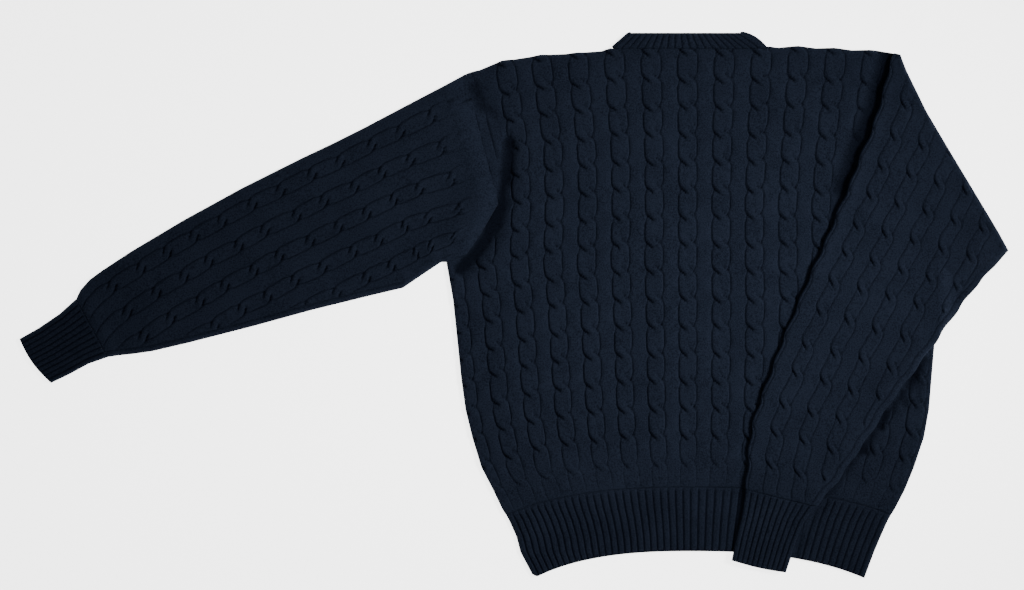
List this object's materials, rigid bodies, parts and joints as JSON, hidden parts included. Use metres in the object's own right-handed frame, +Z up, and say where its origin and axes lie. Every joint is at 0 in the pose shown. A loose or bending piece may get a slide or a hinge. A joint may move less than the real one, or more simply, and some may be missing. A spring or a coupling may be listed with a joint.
{
  "type": "cable knit sweater",
  "caption": "Crew-neck long-sleeved sweater in cable knit with ribbed neck, cuffs and hem, laid flat with its back up and one sleeve folded over the back.",
  "frame": {"origin": "middle of the garment's outline, on the surface that it lies on", "axes": "+Z up from the surface, +Y from the hem towards the neck, +X across the garment from the stretched sleeve to the folded one"},
  "size_m": [1.186, 0.6554, 0.0159],
  "materials": {
    "wool": "soft navy wool, cable knit",
    "wool_rib": "soft navy wool, ribbed"
  },
  "bodies": {
    "root": {"front_panel": "wool", "back_panel": "wool", "hem_rib_front": "wool_rib", "hem_rib_back": "wool_rib", "sleeve_left": "wool", "cuff_left": "wool_rib", "sleeve_right": "wool", "cuff_right": "wool_rib", "neckband": "wool_rib"}
  },
  "joints": []
}
